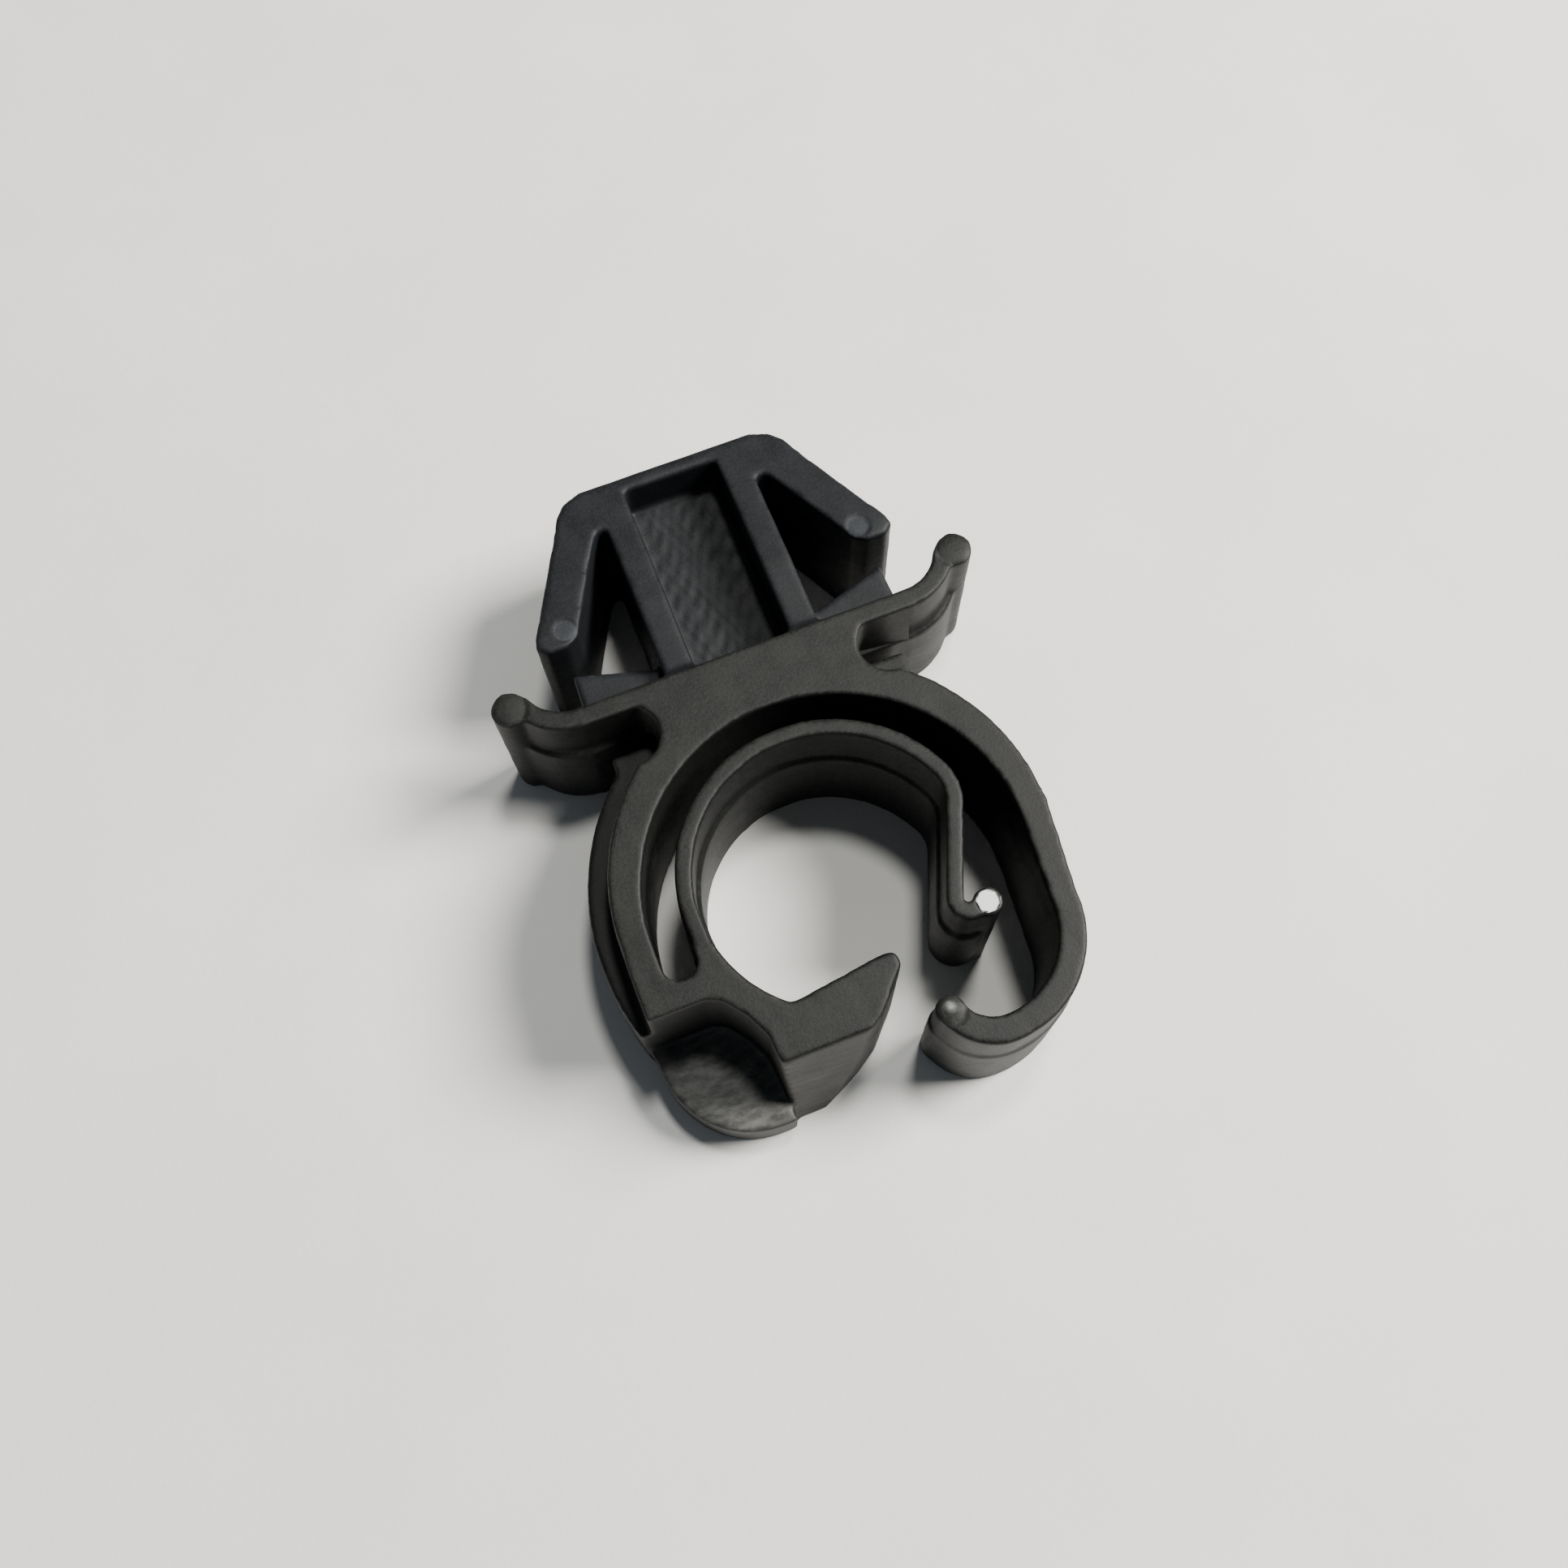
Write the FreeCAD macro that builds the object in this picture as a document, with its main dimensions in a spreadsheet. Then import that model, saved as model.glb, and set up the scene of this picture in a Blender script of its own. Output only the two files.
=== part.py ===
import FreeCAD, Part
import os
import re
import Sketcher

# Push-in clip with a round seat, moulded in one piece. It lies on its back face (z = 0).
# Origin: axis of the round seat, on the back face. +Y runs to the anchor's nose, +X to the guard arm.
# Nodes are the members of the moulding, cut where it flexes: each flexing member ends in a
# round knuckle on its flexing line, which fits the socket of the member that carries it.

doc = FreeCAD.newDocument("push_in_clip")
sheet = doc.addObject("Spreadsheet::Sheet", "Dims")

SIZES = (
    ("full_depth", 7.6, "depth of the moulding, back face to top face"),
    ("step_level", 5.0, "height of the ledge where the outline steps inwards"),
    ("pad_level", 2.4, "thickness of the thumb pad"),
    ("knuckle_gap", 0.08, "running gap round each knuckle"),
    ("knuckle_swell", 0.03, "how far a knuckle stands proud of its member"),
    # ring
    ("seat_r", 5.5, "radius of the round seat"),
    ("finger_wall", 0.7, "thickness of the spring finger, upper tier"),
    ("finger_step", 0.2, "how far the finger's lower tier stands inwards"),
    ("slot_gap", 1.4, "width of the slot behind the finger"),
    ("ring_thick", 1.2, "thickness of the outer wall, upper tier"),
    ("ledge_out", 1.35, "how far the ledge stands out from the outer wall, left side"),
    ("shoulder_out", 0.75, "the same on the right side"),
    ("ledge_x", 0.35, "ledge centre off the axis, x"),
    ("ledge_y", 0.2, "ledge centre, y"),
    ("slot_y", -0.4, "centre of the outer wall's inner radius, y"),
    ("slot_end_y", -1.3, "centre of the slot's closed end, y"),
    ("slot_r", "seat_r + finger_wall + slot_gap", "inner radius of the outer wall"),
    ("wall_r", "slot_r + ring_thick", "outer radius of the outer wall, upper tier"),
    ("ledge_r", "wall_r + ledge_out", "outer radius of the left ledge"),
    ("shoulder_r", "wall_r + shoulder_out", "outer radius of the right ledge"),
    # spring finger
    ("root_angle", 186, "where the finger leaves the heel, degrees"),
    ("crown_angle", 112, "flexing line at the finger's crown, degrees"),
    ("tip_angle", 42, "flexing line above the finger's tail, degrees"),
    ("bend_angle", 22, "where the finger turns back inwards, degrees"),
    ("bend_r", 1.8, "middle radius of that turn"),
    ("tail_lean", 23, "lean of the straight tail, degrees"),
    ("tail_length", 3.9, "length of the straight tail"),
    ("curl_r", 0.55, "middle radius of the curl at the finger's end"),
    ("curl_end", 285, "where the curl ends, degrees"),
    ("bead_r", 0.6, "radius of the beads on finger and guard arm"),
    ("bead_out", 0.61, "finger bead beyond the curl's centre, x"),
    ("bead_drop", 0.41, "finger bead below the curl's centre, y"),
    ("turn_run", "seat_r + finger_wall / 2 - bend_r", "turn's centre from the axis"),
    ("tail_x", "turn_run * cos(bend_angle * 1deg) + bend_r * cos(tail_lean * 1deg)",
     "top of the tail, x"),
    ("tail_y", "turn_run * sin(bend_angle * 1deg) - bend_r * sin(tail_lean * 1deg)",
     "top of the tail, y"),
    ("curl_x", "tail_x - tail_length * sin(tail_lean * 1deg) + curl_r * cos(tail_lean * 1deg)",
     "curl's centre, x"),
    ("curl_y", "tail_y - tail_length * cos(tail_lean * 1deg) - curl_r * sin(tail_lean * 1deg)",
     "curl's centre, y"),
    # flange, arms and wings
    ("flange_wall", 2.75, "thickness of the flange between slot and panel face"),
    ("arm_wall", 0.85, "thickness of the arms and wings, upper tier"),
    ("arm_step", 0.3, "extra thickness of arms and wings, lower tier"),
    ("foot_gap", 0.42, "gap between the ledge's foot and the arm above it"),
    ("foot_run", 0.9, "how far the ledge's foot runs past the notch's centre"),
    ("notch_in", 2.0, "notch centre in from the slot's radius, x"),
    ("notch_drop", 1.9, "notch centre below the flange's face, y"),
    ("notch_r", 1.25, "radius of the notch's round end"),
    ("arm_run", 1.5, "arm's end past the notch's centre"),
    ("wing_r", 1.9, "inner radius of a wing"),
    ("wing_sweep", 69, "angle of a wing's arc, degrees"),
    ("wing_bead_r", 0.75, "radius of a wing's bead"),
    ("flange_y", "slot_r + slot_y + flange_wall", "face of the flange towards the panel"),
    ("relief_y", "flange_y - arm_wall - arm_step", "underside of an arm, lower tier"),
    ("foot_y", "relief_y - foot_gap", "top edge of the ledge's foot"),
    ("notch_x", "slot_r - notch_in", "centre of the notch's round end, x"),
    ("notch_y", "flange_y - notch_drop", "centre of the notch's round end, y"),
    ("foot_x", "notch_x + foot_run", "outer edge of the ledge's foot beside the notch"),
    ("arm_x", "notch_x + arm_run", "half length of the flange's arms"),
    ("pad_gap", 0.3, "seat pad's outer end short of the arm's end"),
    ("pad_lean", 0.1, "how much further out a seat pad's foot reaches"),
    ("pad_rise", 0.85, "seat pad at the rib, above the flange"),
    ("pad_tip_rise", 1.9, "seat pad at its outer end, above the flange"),
    ("pad_top", 6.4, "top of a seat pad"),
    ("pad_x", "arm_x - pad_gap", "outer end of a seat pad"),
    # anchor
    ("anchor_length", 9.45, "anchor's length from the flange's face to the nose"),
    ("anchor_top", 7.35, "top of the anchor beside the flange"),
    ("nose_top", 6.95, "top of the anchor at the nose"),
    ("taper_run", 3.45, "level stretch of the anchor's top beside the flange"),
    ("rib_in", 2.05, "inner face of a rib"),
    ("rib_wall", 1.3, "thickness of a rib"),
    ("web_low", 3.2, "underside of the floor web"),
    ("nose_wall", 0.7, "thickness of the nose in front of the web"),
    ("barb_out", 1.4, "barb's flexing line out from the rib"),
    ("barb_back", 2.03, "barb's flexing line behind the nose's edge"),
    ("barb_lean", 27.4, "lean of a barb off the Y axis, degrees"),
    ("barb_wall", 1.7, "thickness of a barb"),
    ("barb_length", 5.42, "length of a barb from its flexing line"),
    ("tip_bevel", 0.65, "bevel at a barb's end, outer corner"),
    ("tip_soft", 0.15, "second, finer bevel there, along the barb"),
    ("tip_edge", 0.1, "second, finer bevel there, across the barb"),
    ("heel_bevel", 0.95, "bevel at a barb's end, inner corner, along the barb"),
    ("heel_soft", 0.4, "middle corner of that bevel, along the barb"),
    ("heel_edge", 0.3, "middle corner of that bevel, across the barb"),
    ("gap_back", 2.13, "closed end of the gap beside a rib, behind the nose's edge"),
    ("gap_round", 0.35, "straight stretch of that closed end"),
    ("corner_out", 0.35, "nose corner out from the barb's flexing line"),
    ("corner_back", 0.75, "nose corner behind the nose's edge"),
    ("flat_in", 0.85, "end of the nose's straight edge in from the barb's line"),
    ("round_out", 0.2, "fullness of the nose's corner, x"),
    ("round_back", 0.3, "fullness of the nose's corner, y"),
    ("nose_y", "flange_y + anchor_length", "front edge of the nose"),
    ("taper_y", "flange_y + taper_run", "where the anchor's top starts to slope"),
    ("rib_out", "rib_in + rib_wall", "outer face of a rib"),
    ("barb_x", "rib_out + barb_out", "flexing line of a barb, x"),
    ("barb_y", "nose_y - barb_back", "flexing line of a barb, y"),
    ("gap_y", "nose_y - gap_back", "closed end of the gap between rib and barb"),
    ("nose_flat_x", "barb_x - flat_in", "half length of the nose's straight edge"),
    ("nose_corner_x", "barb_x + corner_out", "outer end of the nose's corner, x"),
    ("nose_corner_y", "nose_y - corner_back", "outer end of the nose's corner, y"),
    # heel, jaw and thumb pad, placed from the seat's lowest point and left edge
    ("heel_low", 2.45, "lower face of the heel above the seat's lowest point"),
    ("valley_angle", 230.5, "valley between seat and jaw, degrees"),
    ("valley_out", 0.08, "valley outside the seat's radius"),
    ("groin_x", 0.75, "corner where jaw and heel part, from the seat's left edge"),
    ("groin_y", 0.3, "that corner, above the seat's lowest point"),
    ("hollow_x", 0.3, "corner of the heel's hollow, from the seat's left edge"),
    ("hollow_y", 1.3, "that corner, above the seat's lowest point"),
    ("brow_x", -0.4, "corner of the heel's brow, from the seat's left edge"),
    ("brow_y", 2.2, "that corner, above the seat's lowest point"),
    ("brow_end", -1.0, "end of the brow, from the seat's left edge"),
    ("jaw_tip_x", 0.55, "centre of the jaw's round tip, x"),
    ("jaw_tip_rise", 1.25, "centre of the jaw's tip above the seat's lowest point"),
    ("jaw_tip_r", 0.45, "radius of the jaw's tip"),
    ("jaw_back", 96, "where the jaw's upper edge meets its tip, degrees"),
    ("jaw_front", -43, "where the jaw's front meets its tip, degrees"),
    ("jaw_front_x", -0.5, "corner of the jaw's front, x"),
    ("jaw_front_rise", 0.3, "that corner above the sloping face's top edge"),
    ("chin_x", -1.6, "corner of the jaw's chin, x"),
    ("chin_drop", 0.4, "that corner below the sloping face's top edge"),
    ("facet_drop", 0.85, "top edge of the sloping face below the seat"),
    ("facet_run", 1.2, "how far that face runs outwards over the depth"),
    ("jaw_left", 0.9, "left edge of the jaw from the seat's left edge"),
    ("jaw_foot_x", 2.2, "end of the jaw's lowest edge from the seat's left edge"),
    ("jaw_low", 2.15, "lowest edge of the jaw below the seat"),
    ("jaw_foot_rise", 0.1, "rise of that lowest edge"),
    ("thumb_x", 0.3, "centre of the thumb pad's round edge from the seat's left edge"),
    ("thumb_y", 1.5, "that centre above the seat's lowest point"),
    ("thumb_r", 3.85, "radius of the thumb pad's round edge"),
    ("thumb_lip", 0.35, "thumb pad's upper corner out from the heel"),
    ("heel_y", "heel_low - seat_r", "lower face of the heel"),
    ("valley_x", "(seat_r + valley_out) * cos(valley_angle * 1deg)", "valley, x"),
    ("valley_y", "(seat_r + valley_out) * sin(valley_angle * 1deg)", "valley, y"),
    ("jaw_left_x", "jaw_left - seat_r", "left edge of the jaw"),
    ("jaw_tip_y", "jaw_tip_rise - seat_r", "centre of the jaw's tip, y"),
    ("facet_y", "-seat_r - facet_drop", "top edge of the jaw's sloping face"),
    ("pad_centre_x", "thumb_x - seat_r", "centre of the thumb pad's round edge, x"),
    ("pad_centre_y", "thumb_y - seat_r", "centre of the thumb pad's round edge, y"),
    # guard arm
    ("guard_wall", 1.1, "thickness of the guard arm, upper tier"),
    ("guard_step", 0.1, "extra thickness of the guard arm, lower tier"),
    ("guard_lean", 0.35, "how far the guard arm leans in towards its bend"),
    ("guard_run", 3.9, "length of the guard arm's straight run"),
    ("guard_r", 3.35, "inner radius of the guard arm's large bend"),
    ("hook_r", 1.4, "inner radius of the guard arm's hook"),
    ("hook_sweep", 75, "angle of the guard arm's hook, degrees"),
    ("guard_x", "slot_r - guard_r - guard_lean", "centre of the guard arm's bends, x"),
    ("guard_y", "slot_y - guard_run", "centre of the guard arm's large bend, y"),
    ("hook_y", "guard_y - guard_r + hook_r", "centre of the guard arm's hook, y"),
    ("hook_mid", "hook_r + guard_wall / 2", "middle radius of the hook"),
    ("guard_end", "shoulder_r - ledge_x", "arm's outer face, lower tier"),
)

for row, (alias, number, meaning) in enumerate(SIZES, 1):
    sheet.set(f"A{row}", meaning)
    text = str(number)
    sheet.set(f"B{row}", "=" + text if isinstance(number, str) else text)
    sheet.setAlias(f"B{row}", alias)
doc.recompute()

ALIASES = {alias for alias, number, meaning in SIZES}
REACH = "60"                   # longer than the part, for tools that cut right through it
UNDER = "-1"                   # below the back face


def formula(text):
    """Turn names of sizes in a formula into cells of the sheet."""
    return re.sub(r"[a-z_]+", lambda word: "Dims." + word[0] if word[0] in ALIASES else word[0],
                  str(text))


def bind(thing, **formulas):
    for name, text in formulas.items():
        thing.setExpression(name, formula(text))
    return thing


def place(thing, x, y, z, turn="0"):
    """Put a thing at x, y, z, turned about +Z by a number of degrees."""
    thing.setExpression("Placement.Base.x", formula(x))
    thing.setExpression("Placement.Base.y", formula(y))
    thing.setExpression("Placement.Base.z", formula(z))
    thing.setExpression("Placement.Rotation.Angle", formula(turn))
    return thing


def disc(label, radius, x, y, low, high, start="0", sweep="360"):
    """A round slab, or the sector of it that starts at one angle."""
    slab = doc.addObject("Part::Cylinder", label)
    bind(slab, Radius=radius, Height=f"({high}) - ({low})", Angle=sweep)
    return place(slab, x, y, low, start)


def block(label, x_low, x_high, y_low, y_high, low, high):
    slab = doc.addObject("Part::Box", label)
    bind(slab, Length=f"({x_high}) - ({x_low})", Width=f"({y_high}) - ({y_low})",
         Height=f"({high}) - ({low})")
    return place(slab, x_low, y_low, low)


def outline(label, corners):
    """A closed sketch of straight lines whose corners follow the sheet."""
    sketch = doc.addObject("Sketcher::SketchObject", label + "_outline")
    count = len(corners)
    turn = FreeCAD.Rotation(FreeCAD.Vector(0, 0, 1), 360 / count)
    spot = FreeCAD.Vector(10, 0, 0)
    for index in range(count):
        following = turn.multVec(spot)
        sketch.addGeometry(Part.LineSegment(spot, following))
        spot = following
    for index in range(count):
        sketch.addConstraint(Sketcher.Constraint("Coincident", index, 2, (index + 1) % count, 1))
    for index, (x, y) in enumerate(corners):
        for kind, text in (("DistanceX", x), ("DistanceY", y)):
            number = sketch.addConstraint(Sketcher.Constraint(kind, index, 1, 1.0))
            sketch.renameConstraint(number, f"{kind}{index}")
            sketch.setExpression(f"Constraints.{kind}{index}", formula(text))
    return sketch


def plate(label, corners, low, high, x="0", y="0", turn="0"):
    """A flat slab with straight edges, drawn in its own frame at x, y."""
    sketch = outline(label, corners)
    place(sketch, x, y, low, turn)
    slab = doc.addObject("Part::Extrusion", label)
    slab.Base = sketch
    slab.DirMode = "Custom"
    slab.Dir = FreeCAD.Vector(0, 0, 1)
    slab.Solid = True
    return bind(slab, LengthFwd=f"({high}) - ({low})")


def side_cutter(label, corners):
    """A tool drawn in the YZ plane that runs right across the part along X."""
    sketch = outline(label, corners)
    axes = FreeCAD.Rotation(FreeCAD.Vector(1, 1, 1), 120)
    sketch.Placement = FreeCAD.Placement(FreeCAD.Vector(-30, 0, 0), axes)
    slab = doc.addObject("Part::Extrusion", label)
    slab.Base = sketch
    slab.DirMode = "Custom"
    slab.Dir = FreeCAD.Vector(1, 0, 0)
    slab.Solid = True
    return bind(slab, LengthFwd=REACH)


def fuse(label, *pieces):
    whole = doc.addObject("Part::MultiFuse", label)
    whole.Shapes = list(pieces)
    whole.Refine = True
    return whole


def cut(label, base, *tools):
    tool = tools[0] if len(tools) == 1 else fuse(label + "_tools", *tools)
    rest = doc.addObject("Part::Cut", label)
    rest.Base = base
    rest.Tool = tool
    rest.Refine = True
    return rest


def common(label, *pieces):
    shared = doc.addObject("Part::MultiCommon", label)
    shared.Shapes = list(pieces)
    shared.Refine = True
    return shared


def mirror(label, source):
    """The same piece on the other side of the anchor's axis."""
    twin = doc.addObject("Part::Mirroring", label)
    twin.Source = source
    twin.Base = FreeCAD.Vector(0, 0, 0)
    twin.Normal = FreeCAD.Vector(1, 0, 0)
    return twin


def arc(label, x, y, inner, outer, start, sweep, low, high):
    """A bent band of constant thickness."""
    return cut(label, disc(label + "_outer", outer, x, y, low, high, start, sweep),
               disc(label + "_inner", inner, x, y, f"{low} - 1", f"{high} + 1"))


# ---- spring finger: a band of two tiers in three members -------------------------------------

TIERS = (("low", "finger_step", "0", "step_level"), ("high", "0", "step_level", "full_depth"))
FINGER_MID = "(seat_r + (finger_wall - {step}) / 2)"


def finger_knuckle(label, angle, grow):
    """Round knuckle, or with grow the socket for it, at one angle of the finger."""
    parts = []
    for tier, step, low, high in TIERS:
        middle = FINGER_MID.format(step=step)
        parts.append(disc(f"{label}_{tier}", f"(finger_wall + {step}) / 2 + knuckle_swell + {grow}",
                          f"{middle} * cos({angle} * 1deg)", f"{middle} * sin({angle} * 1deg)",
                          low, high))
    return fuse(label, *parts)


def finger_band(label, start, end):
    """The finger's round stretch from one angle up to another."""
    parts = [arc(f"{label}_{tier}", "0", "0", f"seat_r - {step}", "seat_r + finger_wall",
                 start, f"{end} - {start}", low, high) for tier, step, low, high in TIERS]
    return fuse(label, *parts)


def finger_tail(label):
    """The turn, the straight tail, the curl and the bead at the finger's end."""
    parts = []
    half = "finger_wall / 2"
    for tier, step, low, high in TIERS:
        name = f"{label}_{tier}"
        parts.append(arc(name + "_turn", "turn_run * cos(bend_angle * 1deg)",
                         "turn_run * sin(bend_angle * 1deg)", f"bend_r - {half} - {step}",
                         f"bend_r + {half}", "-tail_lean", "bend_angle + tail_lean", low, high))
        parts.append(plate(name + "_tail",
                           ((0, half), ("tail_length", half),
                            ("tail_length", f"-{half} - {step}"), (0, f"-{half} - {step}")),
                           low, high, "tail_x", "tail_y", "-90 - tail_lean"))
        parts.append(arc(name + "_curl", "curl_x", "curl_y", f"curl_r - {half}",
                         f"curl_r + {half} + {step}", "180 - tail_lean",
                         "curl_end - 180 + tail_lean", low, high))
        parts.append(disc(name + "_bead", "bead_r", "curl_x + bead_out",
                          "curl_y - bead_drop", low, high))
    return fuse(label, *parts)


def make_finger():
    root = fuse("finger_root_solid", finger_band("root_band", "crown_angle", "root_angle"),
                finger_knuckle("root_knuckle", "root_angle", "0"))
    crown = fuse("finger_crown_solid", finger_band("crown_band", "tip_angle", "crown_angle"),
                 finger_knuckle("crown_knuckle", "crown_angle", "0"))
    tip = fuse("finger_tip", finger_band("tip_band", "bend_angle", "tip_angle"),
               finger_knuckle("tip_knuckle", "tip_angle", "0"), finger_tail("tip_tail"))
    return (cut("finger_root", root, finger_knuckle("crown_socket", "crown_angle", "knuckle_gap")),
            cut("finger_crown", crown, finger_knuckle("tip_socket", "tip_angle", "knuckle_gap")),
            tip)


# ---- outer wall, heel and thumb pad ----------------------------------------------------------


def make_ring_wall():
    """Left outer wall with its ledge and the ledge's foot beside the notch."""
    upper = common("wall_upper", disc("wall_disc", "wall_r", "0", "0", "0", "full_depth"),
                   block("wall_side", "-" + REACH, "-notch_x", "slot_y", REACH, UNDER, REACH))
    ledge = common("ledge_part", disc("ledge_disc", "ledge_r", "ledge_x", "ledge_y",
                                      "0", "step_level"),
                   block("ledge_side", "-" + REACH, "-notch_x", "heel_y", "foot_y", UNDER, REACH))
    foot = block("ledge_foot", "-foot_x", "-notch_x", "slot_r / 2", "foot_y", "0", "step_level")
    skirt = block("ledge_skirt", "-" + REACH, "-wall_r", "heel_y", "slot_y", UNDER, REACH)
    lower = cut("ledge_above", fuse("ledge_whole", ledge, foot),
                block("ledge_under", "-" + REACH, "0", "-" + REACH, "slot_y", UNDER, REACH))
    side = common("ledge_below", ledge, skirt)
    slot = disc("wall_slot", "slot_r", "0", "slot_y", UNDER, REACH)
    return cut("ring_wall", fuse("ring_wall_solid", upper, lower, side), slot)


def heel_outline(label):
    corners = (("-wall_r", "slot_y"), ("-seat_r / 2", "slot_y"), ("valley_x", "valley_y"),
               ("groin_x - seat_r", "groin_y - seat_r"), ("hollow_x - seat_r", "hollow_y - seat_r"),
               ("brow_x - seat_r", "brow_y - seat_r"), ("brow_end - seat_r", "heel_y"),
               ("-wall_r", "heel_y"))
    return plate(label, corners, "0", "full_depth")


def make_heel():
    """Block that joins the outer wall, the finger's root and the jaw."""
    slot_mid = "(slot_r + seat_r + finger_wall) / 2"
    slot_half = "(slot_r - seat_r - finger_wall) / 2"
    slot_run = block("slot_run", "-slot_r", "-seat_r - finger_wall", "slot_end_y", REACH, UNDER, REACH)
    slot_end = disc("slot_end", slot_half, f"-{slot_mid}", "slot_end_y", UNDER, REACH)
    seat = disc("seat_cut", "seat_r", "0", "0", UNDER, REACH)
    finger_side = block("finger_side", "-seat_r - finger_wall", "-seat_r / 2",
                        "(seat_r + finger_wall / 2) * sin(root_angle * 1deg)", REACH, UNDER, REACH)
    return cut("ring_heel", heel_outline("heel_blank"), slot_run, slot_end, seat, finger_side,
               finger_knuckle("root_socket", "root_angle", "knuckle_gap"))


def jaw_blank(label):
    corners = (("valley_x", "valley_y"),
               ("jaw_tip_x + jaw_tip_r * cos(jaw_back * 1deg)",
                "jaw_tip_y + jaw_tip_r * sin(jaw_back * 1deg)"),
               ("jaw_tip_x + jaw_tip_r * cos(jaw_front * 1deg)",
                "jaw_tip_y + jaw_tip_r * sin(jaw_front * 1deg)"),
               ("jaw_front_x", "facet_y + jaw_front_rise"), ("chin_x", "facet_y - chin_drop"),
               ("jaw_foot_x - seat_r", "jaw_foot_rise - jaw_low - seat_r"),
               ("jaw_left_x", "-jaw_low - seat_r"), ("groin_x - seat_r", "groin_y - seat_r"))
    return fuse(label, plate(label + "_plate", corners, "0", "full_depth"),
                disc(label + "_tip", "jaw_tip_r", "jaw_tip_x", "jaw_tip_y", "0", "full_depth"))


def make_jaw():
    """Pointed jaw, its front face sloping outwards to the back face."""
    facet = side_cutter("facet_tool", (("facet_y", "full_depth + 1"), ("facet_y", "full_depth"),
                                       ("facet_y - facet_run", "0"),
                                       ("facet_y - facet_run", UNDER), ("-" + REACH, UNDER),
                                       ("-" + REACH, "full_depth + 1")))
    return cut("hook_jaw", jaw_blank("jaw_blank"), facet)


def make_thumb_pad():
    quarter = disc("thumb_round", "thumb_r", "pad_centre_x", "pad_centre_y", "0", "pad_level",
                   "180", "90")
    upper = plate("thumb_upper", (("pad_centre_x - thumb_r", "pad_centre_y"),
                                  ("jaw_left_x", "pad_centre_y"), ("jaw_left_x", "heel_y"),
                                  ("-wall_r - thumb_lip", "heel_y")), "0", "pad_level")
    lower = block("thumb_lower", "pad_centre_x", "jaw_left_x", "pad_centre_y - thumb_r",
                  "pad_centre_y", "0", "pad_level")
    return cut("thumb_pad", fuse("thumb_solid", quarter, upper, lower),
               heel_outline("heel_mask"), jaw_blank("jaw_mask"))


# ---- right shoulder and guard arm ------------------------------------------------------------

GUARD_OUT = "guard_r + guard_wall"


def guard_knuckle(label, grow):
    """Knuckle on the guard arm's flexing line, one per tier, the lower one a little fuller."""
    parts = []
    for tier, out, swell, low, high in (
            ("low", "guard_end", "knuckle_swell * 2", "0", "step_level"),
            ("high", "wall_r", "knuckle_swell", "step_level", "full_depth")):
        parts.append(disc(f"{label}_{tier}", f"(({out}) - slot_r) / 2 + {swell} + {grow}",
                          f"(({out}) + slot_r) / 2", "slot_y", low, high))
    return fuse(label, *parts)


def make_shoulder():
    side = block("shoulder_side", "notch_x", REACH, "slot_y", REACH, UNDER, REACH)
    upper = common("shoulder_upper", side, disc("shoulder_disc", "wall_r", "0", "0",
                                                "0", "full_depth"))
    ledge_side = block("shoulder_low_side", "notch_x", REACH, "slot_y", "foot_y", UNDER, REACH)
    ledge = common("shoulder_ledge", ledge_side,
                   disc("shoulder_ledge_disc", "shoulder_r", "-ledge_x", "ledge_y",
                        "0", "step_level"))
    foot = block("shoulder_foot", "notch_x", "foot_x", "slot_r / 2", "foot_y", "0", "step_level")
    slot = disc("shoulder_slot", "slot_r", "0", "slot_y", UNDER, REACH)
    return cut("shoulder", fuse("shoulder_solid", upper, ledge, foot), slot,
               guard_knuckle("guard_socket", "knuckle_gap"))


def make_guard_arm():
    """Outer arm: a straight run, a large bend, a hook and a bead."""
    parts = []
    for tier, out, step, low, high in (
            ("low", "guard_end", "guard_step", "0", "step_level"),
            ("high", "wall_r", "0", "step_level", "full_depth")):
        name = f"guard_{tier}"
        parts.append(plate(name + "_run", (("slot_r", "slot_y"), (out, "slot_y"),
                                           (f"guard_x + {GUARD_OUT} + {step}", "guard_y"),
                                           ("guard_x + guard_r", "guard_y")), low, high))
        parts.append(arc(name + "_bend", "guard_x", "guard_y", "guard_r",
                         f"{GUARD_OUT} + {step}", "270", "90", low, high))
        parts.append(arc(name + "_hook", "guard_x", "hook_y", "hook_r",
                         f"hook_r + guard_wall + {step}", "270 - hook_sweep", "hook_sweep",
                         low, high))
        parts.append(disc(name + "_bead", f"bead_r + {step}",
                          "guard_x - hook_mid * sin(hook_sweep * 1deg)",
                          "hook_y - hook_mid * cos(hook_sweep * 1deg)", low, high))
    return fuse("guard_arm", *parts, guard_knuckle("guard_knuckle", "0"))


# ---- flange with its arms, wings and seat pads -----------------------------------------------


def wing_knuckle(label, grow):
    parts = []
    for tier, step, low, high in (("low", "arm_step", "0", "step_level"),
                                  ("high", "0", "step_level", "full_depth")):
        half = f"(arm_wall + {step}) / 2"
        parts.append(disc(f"{label}_{tier}", f"{half} + knuckle_swell + {grow}", "arm_x",
                          f"flange_y - {half}", low, high))
    return fuse(label, *parts)


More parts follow.
